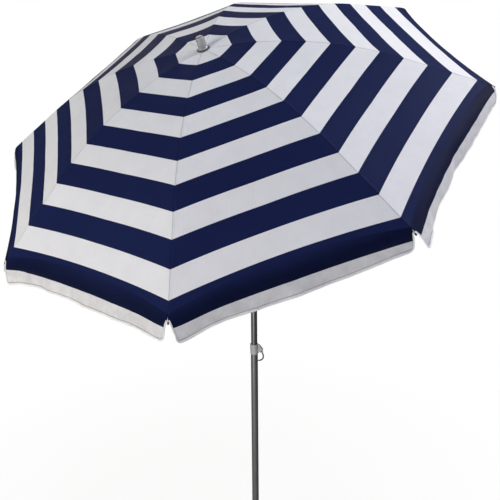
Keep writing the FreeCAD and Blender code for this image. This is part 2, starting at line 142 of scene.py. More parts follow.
def columns(hw):
    """Shares of the half width at which the columns stand, close together by the seam or notch."""
    last = min(FINE[-1] / hw, 0.5)
    near = np.minimum(FINE / hw, 0.5 * FINE / FINE[-1])
    far = last + (1 - last) * (np.arange(1, FREE + 1) / FREE)
    return np.concatenate([near, far])


NCOL = len(FINE) + FREE
CANOPY_K = np.concatenate([[-0.0017, 0.04, 0.10, 0.2, 0.35, 0.5, 0.65, 0.8, 0.9, 1.0], np.arange(1.2, 11.01, 0.2)])
PRINT = (0.0, 0.016, -0.026, -0.012, 0.0, 0.050, 0.048, 0.098, 0.097, 0.110, 0.058, 0.010, 0.0)
RIM_T = np.array([0.14, 0.28, 0.42, 0.52])
ROLL = np.array([0.0, 0.2, 0.4, 0.6, 0.8, 1.0])
DROP_T = np.array([0.12, 0.24, 0.36, 0.5, 0.64, 0.78, 0.9])
FROM_HEM = np.array([12.0, 10.0, 9.0, 8.0, 6.0, 4.0, 2.0, 0.8, 0.0])
NROW = len(CANOPY_K) + len(RIM_T) + len(ROLL) + len(DROP_T) + len(FROM_HEM)
FIRST_DROP = len(CANOPY_K) + len(RIM_T)


# straight down as the tilted canopy sees it, and how the valance is cut, mm
DOWN = np.array([0.0, -math.sin(math.radians(32.11)), -math.cos(math.radians(32.11))])
BEND_OVER = [34.0, 30.0, 30.0, 24.0, 18.0, 40.0, 40.0, 40.0]
HEM_CORNER, HEM_MID = [66.0] * 6 + [64.0, 66.0], [104.0] * 6 + [107.0, 105.0]
BORDER_CORNER, BORDER_MID = [27.5] * 6 + [31.0, 27.5], [54.0] * 6 + [60.0, 54.0]
# where the cutting and the hemming wander: (rib, side) -> (length, from the corner, spread, for the border too), mm
WANDER = {(5, 1): [(20, 0, 52, 0.55), (-7, 160, 50, 0.0), (-6, 300, 60, 0.0)], (6, -1): [(9, 30, 60, 0.5)], (6, 1): [(3, 20, 60, 2.0)],
          (7, 1): [(8, 125, 75, 0.15), (2, 0, 40, 1.0)], (7, -1): [(-3, 60, 60, 0.0)], (0, -1): [(-5, 60, 50, 0.4)],
          (0, 1): [(4, 90, 60, 0.3)], (1, -1): [(5, 140, 60, 0.3)], (2, 1): [(4, 120, 70, 0.2)], (3, -1): [(-5, 110, 60, 0.2)], (4, 1): [(5, 150, 80, 0.2)]}


def notch(drop, rib, side):
    """How far the notch's edge stands from the rib's plane."""
    past = np.maximum(drop - 7.0, 0.0)
    return 4.2 * (1 - np.exp(-past / 4.5)) + 0.275 * past + CORNER[(rib, side)][1] * step(drop, 10.0, 66.0)


def half_panel(rib, side):
    """Rows by columns of one half panel in the rib's local frame, with the values its material reads."""
    P = np.zeros((NROW, NCOL, 3))
    W = np.zeros((NROW, NCOL))
    K = np.zeros((NROW, NCOL))
    U = np.zeros((NROW, NCOL))      # distance from the seam or the notch's edge, mm
    H = np.full((NROW, NCOL), 400.0)  # distance from the hem's lower edge, mm
    V = np.zeros((NROW, NCOL))      # length down the cloth, mm
    row = 0
    for k in CANOPY_K:
        r = float(rib_line(STRIPE0 + STRIPE * (k - 1.0), 4.6)[0])
        w = columns(r * S22)
        kk = np.full(NCOL, k)
        P[row], W[row], K[row], U[row] = cloth(kk, w, side), w, kk, w * r * S22
        V[row] = STRIPE0 + STRIPE * (k - 1.0)
        row += 1
    hw = 936.0 * S22
    w = columns(hw)
    for t in RIM_T:
        kk = 11.0 + t * (rim_k(w) - 11.0)
        P[row], W[row], K[row], U[row] = cloth(kk, w, side), w, kk, w * hw
        V[row] = STRIPE0 + STRIPE * (kk - 1.0)
        row += 1
    # over the rim and down the valance, the edge leaves the rib's plane along the notch
    flare, slide, longer = CORNER[(rib, side)]
    e_all = 2 * w - w * w
    u_mm = w * hw
    panel = rib if side > 0 else rib - 1
    total0 = HEM_CORNER[panel] + (HEM_MID[panel] - HEM_CORNER[panel]) * e_all + longer * np.exp(-(u_mm / 95.0) ** 2)
    border = BORDER_CORNER[panel] + (BORDER_MID[panel] - BORDER_CORNER[panel]) * e_all
    for amount, at, spread, share in WANDER.get((rib, side), ()):
        bump = amount * np.exp(-((u_mm - at) / spread) ** 2)
        total0 = total0 + bump
        border = border + bump * share
    radius = 13.0
    cut = np.where(u_mm < radius, radius - np.sqrt(np.maximum(radius ** 2 - (radius - u_mm) ** 2, 0.0)), 0.0)
    total = total0 - cut

    pull = turn_z(DOWN, -AZ[rib])
    bend = BEND_OVER[panel]

    def hang(drop):
        lat = notch(drop, rib, side)
        we = w + (1 - w) * lat / hw
        p = cloth(rim_k(we), we, side)
        leave = unit(cloth(rim_k(we) + 0.03, we, side) - cloth(rim_k(we) - 0.03, we, side))
        # the cloth leaves along the panel and bends over until it hangs straight down
        n = 24
        for m in range(n):
            s = drop * (m + 0.5) / n
            f = np.exp(-np.maximum(s, 0.0) / bend)[:, None]
            p = p + unit(leave * f + pull * (1 - f)) * (drop / n)[:, None]
        out = unit(np.stack([C22 * we + (1 - we), side * S22 * we, np.zeros(NCOL)], -1))
        near = np.exp(-(u_mm / 85.0) ** 2)
        p = p + out * (flare * near * (np.maximum(drop, 0) / 66.0) ** 1.7)[:, None]
        return p, we

    def put(row, p, we, drop):
        P[row], W[row], U[row] = p, we, u_mm
        K[row] = np.where(drop < border, rim_k(we) + (12.0 - rim_k(we)) * np.maximum(drop, 0) / border,
                          12.0 + 0.98 * (drop - border) / np.maximum(total0 - border, 1.0))
        H[row] = total - drop
        V[row] = STRIPE0 + STRIPE * (rim_k(w) - 1.0) + drop

    reach = 11.0
    kb = rim_k(w) - reach / STRIPE
    before = cloth(kb, w, side)
    corner, we0 = hang(np.zeros(NCOL))
    after, we1 = hang(np.full(NCOL, reach))
    for t in ROLL:
        p = (1 - t) ** 2 * before + 2 * t * (1 - t) * corner + t * t * after
        drop = np.full(NCOL, reach * (2 * t - 1))
        put(row, p, (1 - t) ** 2 * w + 2 * t * (1 - t) * we0 + t * t * we1, drop)
        if t < 0.5:
            K[row] = kb + (rim_k(w) - kb) * 2 * t
        H[row] = np.maximum(total - drop, 20.0)
        row += 1
    for t in DROP_T:
        drop = reach + t * (total - FROM_HEM[0] - reach)
        p, we = hang(drop)
        put(row, p, we, drop)
        row += 1
    for h in FROM_HEM:
        drop = total - h
        p, we = hang(drop)
        put(row, p, we, drop)
        row += 1
    return P, W, K, U, H, V


def sway(i, q, drop):
    """The valance's own gentle waves: q runs -1..1 across panel i, zero at the rim, mm outwards."""
    a = 2.399 * i
    f = (2.6 * np.sin(2.1 * math.pi * q + a) + 1.8 * np.sin(3.7 * math.pi * q + 1.7 * a + 0.6) + 1.1 * np.cos(5.3 * math.pi * q - a))
    return f * np.clip(drop / 110.0, 0.0, 1.2) ** 1.5


def puckers(i, q, H, drop):
    """Small upright folds that the hem's stitching draws in the hanging valance, mm outwards."""
    out = np.zeros(drop.shape)
    for r_, c_ in zip(*np.nonzero(drop > 8.0)):
        s = q[r_, c_] * 350.0
        h = H[r_, c_]
        out[r_, c_] = 3.4 * noise.noise(Vector((s / 31.0, h / 120.0, 7.3 * i + 0.4))) + 1.7 * noise.noise(Vector((s / 13.0, h / 60.0, 3.1 * i + 5.7)))
    return out * step(drop, 12.0, 80.0)


def ripples(p, i):
    """Slow unevenness of taut cloth, mm along the normal."""
    out = np.zeros(p.shape[:-1])
    flat = p.reshape(-1, 3)
    vals = np.empty(len(flat))
    for n, (x, y, z) in enumerate(flat):
        vals[n] = 1.5 * noise.noise(Vector((x / 150.0, y / 150.0, z / 150.0 + 3.1))) + 0.55 * noise.noise(Vector((x / 52.0, y / 52.0, z / 52.0 + 9.7)))
    return vals.reshape(out.shape)


def grid_normals(P):
    du = np.gradient(P, axis=0)
    dv = np.gradient(P, axis=1)
    n = np.cross(du, dv)
    return unit(n)


panels = {}
for i in range(8):
    j = (i + 1) % 8
    left = half_panel(i, 1)
    right = half_panel(j, -1)
    PL, PR = turn_z(left[0], AZ[i]), turn_z(right[0], AZ[j])
    P = np.concatenate([PL, PR[:, -2::-1]], axis=1)
    parts = [np.concatenate([a, b[:, -2::-1]], axis=1) for a, b in zip(left[1:], right[1:])]
    W, K, U, H, V = parts
    q = np.concatenate([-(1 - left[1]), (1 - right[1])[:, -2::-1]], axis=1)
    N = grid_normals(P)
    if N[10, NCOL // 2, 2] < 0:
        N = -N
    drop = np.zeros_like(K)
    drop[FIRST_DROP:] = np.maximum(V[FIRST_DROP:] - (STRIPE0 + STRIPE * (rim_k(W[FIRST_DROP:]) - 1.0)), 0.0)
    away = step(np.minimum(U, 60.0), 2.0, 55.0)
    P = P + N * (ripples(P, i) * away * step(K, 0.4, 2.0))[..., None]
    P = P + N * (sway(i, q, drop) + puckers(i, q, H, drop) * step(U, 1.0, 22.0))[..., None]
    # the sewn seam on each rib: a sunk line, and the folded edges lie to its left
    canopy = np.zeros_like(K)
    canopy[:FIRST_DROP + 2] = 1.0
    canopy = canopy * step(K, 0.05, 0.6)
    P = P - N * (0.75 * np.exp(-(U / 0.9) ** 2) * canopy)[..., None]
    fell = 0.5 * step(U, 0.7, 2.0) * (1 - step(U, 6.8, 8.4)) * canopy
    fell[:, NCOL:] = 0
    P = P + N * fell[..., None]
    N = grid_normals(P)
    if N[10, NCOL // 2, 2] < 0:
        N = -N
    panels[i] = dict(P=P, N=N, W=W, K=K, U=U, H=H, V=V)


# ------------------------------------------------------------------ material helpers
class Tree:
    """Short names for building a node tree."""

    def __init__(self, name):
        self.mat = bpy.data.materials.new(name)
        self.mat.use_nodes = True
        self.t = self.mat.node_tree
        self.t.nodes.clear()
        self.out = self.t.nodes.new("ShaderNodeOutputMaterial")
        self.bsdf = self.t.nodes.new("ShaderNodeBsdfPrincipled")
        self.t.links.new(self.bsdf.outputs[0], self.out.inputs[0])

    def new(self, kind, **props):
        n = self.t.nodes.new(kind)
        for k, v in props.items():
            setattr(n, k, v)
        return n

    def feed(self, socket, value):
        if isinstance(value, bpy.types.NodeSocket):
            self.t.links.new(value, socket)
        else:
            socket.default_value = value

    def math(self, op, a, b=0.0, c=0.0, clamp=False):
        n = self.new("ShaderNodeMath", operation=op, use_clamp=clamp)
        for s, v in zip(n.inputs, (a, b, c)):
            self.feed(s, v)
        return n.outputs[0]

    def attr(self, name):
        return self.new("ShaderNodeAttribute", attribute_name=name).outputs["Fac"]

    def uv(self):
        return self.new("ShaderNodeUVMap", uv_map="weave").outputs[0]

    def xyz(self, v):
        n = self.new("ShaderNodeSeparateXYZ")
        self.feed(n.inputs[0], v)
        return n.outputs

    def obj(self):
        return self.new("ShaderNodeTexCoord").outputs["Object"]

    def scaled(self, v, s):
        n = self.new("ShaderNodeMapping")
        self.feed(n.inputs["Vector"], v)
        n.inputs["Scale"].default_value = s
        return n.outputs[0]

    def noise(self, v, scale, detail=3.0, rough=0.55):
        n = self.new("ShaderNodeTexNoise")
        self.feed(n.inputs["Vector"], v)
        n.inputs["Scale"].default_value = scale
        n.inputs["Detail"].default_value = detail
        n.inputs["Roughness"].default_value = rough
        return n.outputs["Fac"]

    def range(self, v, a, b, c, d, smooth=False):
        n = self.new("ShaderNodeMapRange", interpolation_type="SMOOTHSTEP" if smooth else "LINEAR")
        self.feed(n.inputs["Value"], v)
        for s, x in zip(("From Min", "From Max", "To Min", "To Max"), (a, b, c, d)):
            n.inputs[s].default_value = x
        return n.outputs["Result"]

    def mix(self, fac, a, b, mode="MIX"):
        n = self.new("ShaderNodeMix", data_type="RGBA", blend_type=mode)
        self.feed(n.inputs[0], fac)
        self.feed(n.inputs[6], a if isinstance(a, bpy.types.NodeSocket) else (*a, 1.0))
        self.feed(n.inputs[7], b if isinstance(b, bpy.types.NodeSocket) else (*b, 1.0))
        return n.outputs[2]

    def tone(self, colour, value):
        """colour times value, the same in each channel."""
        n = self.new("ShaderNodeVectorMath", operation="SCALE")
        self.feed(n.inputs[0], colour)
        self.feed(n.inputs["Scale"], value)
        return n.outputs[0]

    def bump(self, height, distance, strength=1.0, before=None):
        n = self.new("ShaderNodeBump")
        n.inputs["Strength"].default_value = strength
        n.inputs["Distance"].default_value = distance
        self.feed(n.inputs["Height"], height)
        if before is not None:
            self.feed(n.inputs["Normal"], before)
        return n.outputs[0]

    def set(self, **values):
        for k, v in values.items():
            self.feed(self.bsdf.inputs[k.replace("_", " ")], v)
        return self.mat


def weave(t, uv, pitch):
    """Height of a plain weave of that pitch, 0 to 1, and a yarn-by-yarn tone."""
    x, y, _ = t.xyz(uv)
    a = t.math("SINE", t.math("MULTIPLY", x, 2 * math.pi / (2 * pitch)))
    b = t.math("SINE", t.math("MULTIPLY", y, 2 * math.pi / (2 * pitch)))
    over = t.math("MULTIPLY_ADD", t.math("MULTIPLY", a, b), 0.5, 0.5)
    warp = t.noise(t.scaled(uv, (1.0 / pitch, 9.0, 1.0)), 1.0, 1.0)
    weft = t.noise(t.scaled(uv, (9.0, 1.0 / pitch, 1.0)), 1.0, 1.0)
    yarn = t.math("MULTIPLY_ADD", t.math("ADD", warp, weft), 0.5, 0.0)
    return over, yarn


def cloth_material(name, inside):
    t = Tree(name)
    uv = t.uv()
    over, yarn = weave(t, uv, 0.00042)
    k = t.attr("stripe")
    u = t.attr("seam_mm")
    h = t.attr("hem_mm")
    fell = t.attr("fell")
    # printed rings, their edges a little uneven where the ink follows the yarns
    ragged = t.math("MULTIPLY_ADD", t.noise(t.scaled(uv, (420.0, 420.0, 1.0)), 1.0, 2.0), 0.010, -0.005)
    ring = t.math("MODULO", t.math("ADD", k, ragged), 2.0)
    navy = t.range(ring, 0.996, 1.004, 0.0, 1.0)
    end = t.range(ring, 1.992, 2.0, 1.0, 0.0)
    navy = t.math("MULTIPLY", navy, end)
    obj = t.obj()
    slow = t.noise(obj, 2.3, 4.0, 0.6)
    mid = t.noise(obj, 17.0, 4.0, 0.6)
    if inside:
        white = t.mix(slow, (0.60, 0.60, 0.63), (0.68, 0.675, 0.69))
        blue = t.mix(slow, (0.028, 0.034, 0.078), (0.040, 0.048, 0.100))
    else:
        white = t.mix(slow, (0.745, 0.735, 0.765), (0.80, 0.79, 0.80))
        blue = t.mix(slow, (0.0075, 0.0120, 0.054), (0.0125, 0.0190, 0.076))
    colour = t.mix(navy, white, blue)
    colour = t.tone(colour, t.range(yarn, 0.3, 0.7, 0.93, 1.06))
    colour = t.tone(colour, t.range(mid, 0.3, 0.75, 0.97, 1.025))
    # a little dust and yellowing low on the hem
    grime = t.math("MULTIPLY", t.range(h, 0.0, 60.0, 0.55, 0.0, True), t.range(mid, 0.42, 0.7, 0.0, 1.0))
    colour = t.mix(t.math("MULTIPLY", grime, 0.30), colour, (0.40, 0.36, 0.30))
    # painted shade: the hanging valance is darker than the canopy, its navy more than its white
    valance_shade = t.range(h, 62.0, 130.0, 1.0, 0.0, True)
    colour = t.tone(colour, t.math("SUBTRACT", 1.0, t.math("MULTIPLY", valance_shade, t.math("MULTIPLY_ADD", navy, 0.36, 0.19))))
    # painted light and shade of folds on the valance: its tone is lifted and lowered by noise
    fold_shading = t.range(t.noise(obj, 30.0, 3.0, 0.6), 0.32, 0.68, -0.10, 0.06)
    colour = t.tone(colour, t.math("MULTIPLY_ADD", valance_shade, fold_shading, 1.0))
    # painted shadow: a dark line in the groove where the binding tape is folded over the cloth's edge
    edge = t.math("MINIMUM", h, t.math("MULTIPLY", t.attr("notch_mm"), 1.75))
    colour = t.tone(colour, t.range(t.math("ABSOLUTE", t.math("SUBTRACT", edge, 8.5)), 0.35, 2.0, 0.50, 1.0, True))
    # painted shade along the seam's sunk line, and its two rows of stitches
    x, y, _ = t.xyz(uv)
    line = t.range(u, 0.35, 1.15, 0.42, 1.0, True)
    colour = t.tone(colour, line)
    dash = t.math("PINGPONG", t.math("DIVIDE", y, 0.0032), 0.5)
    dash = t.range(dash, 0.10, 0.17, 0.0, 1.0)
    rows = t.math("MAXIMUM", t.range(t.math("ABSOLUTE", t.math("SUBTRACT", u, 2.3)), 0.16, 0.34, 1.0, 0.0),
                  t.range(t.math("ABSOLUTE", t.math("SUBTRACT", u, 6.4)), 0.16, 0.34, 1.0, 0.0))
    stitch = t.math("MULTIPLY", t.math("MULTIPLY", dash, rows), fell)
    colour = t.mix(t.math("MULTIPLY", stitch, 0.75), colour, t.mix(navy, (0.86, 0.86, 0.88), (0.05, 0.06, 0.13)))
    # painted shade in the dips between stitches, where the thread goes into the cloth; the same mask sinks the bump
    stitch_dip_and_shade = t.math("MULTIPLY", t.math("MULTIPLY", t.math("SUBTRACT", 1.0, dash), rows), fell)
    colour = t.tone(colour, t.math("MULTIPLY_ADD", stitch_dip_and_shade, -0.35, 1.0))
    normal = t.bump(t.math("ADD", t.math("MULTIPLY", mid, 1.0), t.math("MULTIPLY", slow, 0.6)), 0.0035, 0.35)
    normal = t.bump(over, 0.00016, 0.55, normal)
    normal = t.bump(t.math("SUBTRACT", stitch, stitch_dip_and_shade), 0.00045, 0.8, normal)
    rough = t.range(yarn, 0.3, 0.7, 0.56, 0.70)
    t.set(Base_Color=colour, Roughness=rough, Normal=normal)
    b = t.bsdf.inputs
    b["Sheen Weight"].default_value = 0.012
    b["Sheen Roughness"].default_value = 0.45
    b["Sheen Tint"].default_value = (0.55, 0.66, 1.0, 1.0)
    b["Specular IOR Level"].default_value = 0.17
    b["IOR"].default_value = 1.2
    b["Specular Tint"].default_value = (0.42, 0.52, 1.0, 1.0)
    return t.mat


def tape_material(name, base, thread):
    """Woven binding tape: ribs across it, and a row of stitches near its inner edge."""
    t = Tree(name)
    uv = t.uv()
    x, y, _ = t.xyz(uv)
    across = t.attr("across_mm")
    rib = t.math("SINE", t.math("MULTIPLY", y, 2 * math.pi / 0.0009))
    twill = t.math("SINE", t.math("MULTIPLY", t.math("ADD", x, y), 2 * math.pi / 0.0007))
    height = t.math("MULTIPLY_ADD", t.math("ADD", rib, twill), 0.25, 0.5)
    obj = t.obj()
    mid = t.noise(obj, 24.0, 4.0, 0.6)
    colour = t.mix(mid, tuple(c * 0.93 for c in base), base)
    colour = t.tone(colour, t.range(height, 0.0, 1.0, 0.93, 1.03))
    grime = t.range(t.noise(obj, 60.0, 5.0, 0.65), 0.52, 0.75, 0.0, 0.22)
    colour = t.mix(grime, colour, (0.45, 0.42, 0.37))
    dash = t.range(t.math("PINGPONG", t.math("DIVIDE", y, 0.0036), 0.5), 0.10, 0.17, 0.0, 1.0)
    row = t.range(t.math("ABSOLUTE", t.math("SUBTRACT", across, 6.3)), 0.2, 0.45, 1.0, 0.0)
    stitch = t.math("MULTIPLY", dash, row)
    # painted shade in the dips between stitches, where the thread goes into the tape; the same mask sinks the bump
    stitch_dip_and_shade = t.math("MULTIPLY", t.math("SUBTRACT", 1.0, dash), row)
    colour = t.mix(t.math("MULTIPLY", stitch, 0.8), colour, thread)
    colour = t.tone(colour, t.math("MULTIPLY_ADD", stitch_dip_and_shade, -0.45, 1.0))
    normal = t.bump(height, 0.00022, 0.7)
    normal = t.bump(t.math("SUBTRACT", stitch, stitch_dip_and_shade), 0.0005, 0.8, normal)
    t.set(Base_Color=colour, Normal=normal, Roughness=t.range(mid, 0.3, 0.7, 0.62, 0.78))
    t.bsdf.inputs["Sheen Weight"].default_value = 0.08
    t.bsdf.inputs["Specular IOR Level"].default_value = 0.3
    return t.mat


def metal_material(name, base, dark, rough, metallic, grain=(900.0, 900.0, 14.0), peel=0.0, scratch=0.35, coat=0.0, cap_beyond=None):
    """Drawn or painted steel: grain along the length, fine scratches, and a slow change of tone."""
    t = Tree(name)
    obj = t.obj()
    slow = t.noise(obj, 5.0, 4.0, 0.6)
    grain_v = t.noise(t.scaled(obj, grain), 1.0, 2.0)
    fine = t.noise(t.scaled(obj, (2600.0, 2600.0, 60.0)), 1.0, 3.0, 0.7)
    scr = t.range(fine, 0.66, 0.80, 0.0, scratch)
    colour = t.mix(t.range(slow, 0.3, 0.7, 0.0, 1.0), base, dark)
    colour = t.tone(colour, t.range(grain_v, 0.3, 0.7, 0.90, 1.08))
    colour = t.mix(scr, colour, tuple(min(1.0, c * 1.9 + 0.05) for c in base))
    spots = t.range(t.noise(obj, 240.0, 3.0, 0.6), 0.70, 0.78, 0.0, 0.5)
    colour = t.mix(spots, colour, tuple(c * 0.55 for c in dark))
    roughness = t.math("ADD", t.range(grain_v, 0.3, 0.7, rough - 0.05, rough + 0.06), t.math("MULTIPLY", scr, -0.15), clamp=True)
    normal = t.bump(grain_v, 0.00006, 0.5)
    normal = t.bump(t.noise(obj, 700.0, 2.0), 0.00010, peel, normal) if peel else normal
    normal = t.bump(t.math("MULTIPLY", scr, -1.0), 0.00005, 0.6, normal)
    if cap_beyond is not None:      # the ribs' end caps are dark
        reach = t.new("ShaderNodeVectorMath", operation="DISTANCE")
        t.feed(reach.inputs[0], obj)
        reach.inputs[1].default_value = cap_beyond[0]
        far = t.math("GREATER_THAN", reach.outputs["Value"], cap_beyond[1])
        colour = t.mix(far, colour, t.mix(slow, (0.014, 0.014, 0.016), (0.028, 0.028, 0.030)))
    t.set(Base_Color=colour, Roughness=roughness, Normal=normal)
    t.bsdf.inputs["Metallic"].default_value = metallic
    t.bsdf.inputs["Coat Weight"].default_value = coat
    t.bsdf.inputs["Coat Roughness"].default_value = 0.25
    return t.mat


def plastic_material(name, base, other, rough, grain=1100.0, depth=0.00007, scuff=0.25, coat=0.0, flow=4.0):
    """Moulded plastic: fine spark-eroded texture, flow marks, rubbed and dusty spots."""
    t = Tree(name)
    obj = t.obj()
    slow = t.noise(t.scaled(obj, (flow, flow, flow * 2.5)), 4.0, 4.0, 0.6)
    tex = t.noise(obj, grain, 2.0, 0.5)
    rub = t.range(t.noise(obj, 130.0, 6.0, 0.7), 0.56, 0.74, 0.0, scuff)
    colour = t.mix(t.range(slow, 0.3, 0.7, 0.0, 1.0), base, other)
    colour = t.tone(colour, t.range(tex, 0.25, 0.75, 0.95, 1.05))
    colour = t.mix(rub, colour, tuple(min(1.0, c * 0.8 + 0.16) for c in base))
    normal = t.bump(tex, depth, 0.7)
    normal = t.bump(slow, 0.0006, 0.15, normal)
    t.set(Base_Color=colour, Normal=normal, Roughness=t.math("ADD", t.range(tex, 0.3, 0.7, rough - 0.04, rough + 0.05), t.math("MULTIPLY", rub, 0.35), clamp=True))
    t.bsdf.inputs["Coat Weight"].default_value = coat
    t.bsdf.inputs["Coat Roughness"].default_value = 0.12
    t.bsdf.inputs["Specular IOR Level"].default_value = 0.45
    return t.mat


M_CLOTH = cloth_material("canopy_cloth_outer", False)
M_LINING = cloth_material("canopy_cloth_inner", True)
M_TAPE = tape_material("hem_tape", (0.80, 0.795, 0.80), (0.90, 0.90, 0.92))
M_POCKET = tape_material("rib_pocket_cloth", (0.70, 0.695, 0.71), (0.88, 0.88, 0.9))
M_MAST = metal_material("mast_steel_paint", (0.150, 0.150, 0.162), (0.115, 0.115, 0.126), 0.40, 0.55, peel=0.5, scratch=0.22, coat=0.15)
# a lighter copy of the mast's paint for the lower tube: painted light, so it looks more brightly lit than the upper
# tube
M_MAST_PAINTED_LIGHTER = metal_material("mast_steel_painted_lighter_lower", (0.225, 0.225, 0.231), (0.173, 0.173, 0.180), 0.40, 0.55, peel=0.5, scratch=0.22, coat=0.15)
M_ROD = metal_material("rod_steel_drawn", (0.50, 0.51, 0.53), (0.38, 0.39, 0.41), 0.32, 1.0)
M_FIT = metal_material("fitting_steel_zinc", (0.42, 0.43, 0.46), (0.30, 0.31, 0.34), 0.38, 0.9, grain=(500.0, 500.0, 500.0), cap_beyond=(tuple(to_row(np.zeros((1, 3)))[0]), 0.80))
M_PIN = metal_material("pin_steel_bright", (0.60, 0.60, 0.61), (0.48, 0.48, 0.50), 0.22, 1.0, grain=(700.0, 700.0, 700.0))
M_COLLAR = plastic_material("collar_plastic_grey", (0.44, 0.44, 0.465), (0.39, 0.39, 0.41), 0.36)
M_HOOK = plastic_material("hook_plastic_black", (0.022, 0.022, 0.025), (0.034, 0.034, 0.037), 0.30)
M_SPIKE = plastic_material("spike_plastic_black", (0.035, 0.035, 0.038), (0.05, 0.049, 0.047), 0.5, scuff=0.55)
M_BUTTON = plastic_material("button_plastic_black", (0.030, 0.030, 0.034), (0.038, 0.038, 0.042), 0.24, depth=0.00003, scuff=0.12, coat=0.3)
M_HUB = plastic_material("hub_plastic_white", (0.72, 0.72, 0.70), (0.66, 0.66, 0.63), 0.40)

SLOT_MATERIAL = {"mast_steel": M_MAST, "fitting_steel": M_FIT, "rod_steel": M_ROD, "pin_steel": M_PIN, "collar_plastic": M_COLLAR,
                 "spike_plastic": M_SPIKE, "button_plastic": M_BUTTON, "hub_plastic": M_HUB}
slot_of = {s["node"]: s["material_slot"] for s in frame["record"]["subparts"]}
for name, o in nodes.items():
    m = {"collar_hook": M_HOOK, "lower_mast_tube": M_MAST_PAINTED_LIGHTER}.get(name) or SLOT_MATERIAL.get(slot_of.get(name))
    if m is not None:
        for s in o.material_slots:
            s.material = m


# ------------------------------------------------------------------ mesh helpers
def mesh_object(name, verts, faces, mats, face_mat=None, attrs=None, uv=None, normals=None):
    me = bpy.data.meshes.new(name)
    me.from_pydata([tuple(v) for v in verts], [], faces)
    for m in mats:
        me.materials.append(m)
    if face_mat is not None:
        me.polygons.foreach_set("material_index", np.asarray(face_mat, np.int32))
    me.polygons.foreach_set("use_smooth", np.ones(len(me.polygons), bool))
    for key, vals in (attrs or {}).items():
        a = me.attributes.new(key, "FLOAT", "POINT")
        a.data.foreach_set("value", np.asarray(vals, np.float32))
    if uv is not None:
        layer = me.uv_layers.new(name="weave")
        loops = np.zeros(len(me.loops), np.int32)
        me.loops.foreach_get("vertex_index", loops)
        layer.data.foreach_set("uv", np.asarray(uv, np.float32)[loops].ravel())
    me.update()
    me.validate()
    if normals is not None:
        me.normals_split_custom_set_from_vertices([tuple(n) for n in normals])
    o = bpy.data.objects.new(name, me)
    scene.collection.objects.link(o)
    return o


def set_blend(o, weights):
    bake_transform(o)


def fold_weight(w):
    return 2 * w - w * w


def dir_to_row(v):
    c, s = math.cos(TILT), math.sin(TILT)
    return np.stack([v[..., 0], v[..., 1] * c - v[..., 2] * s, v[..., 1] * s + v[..., 2] * c], -1)


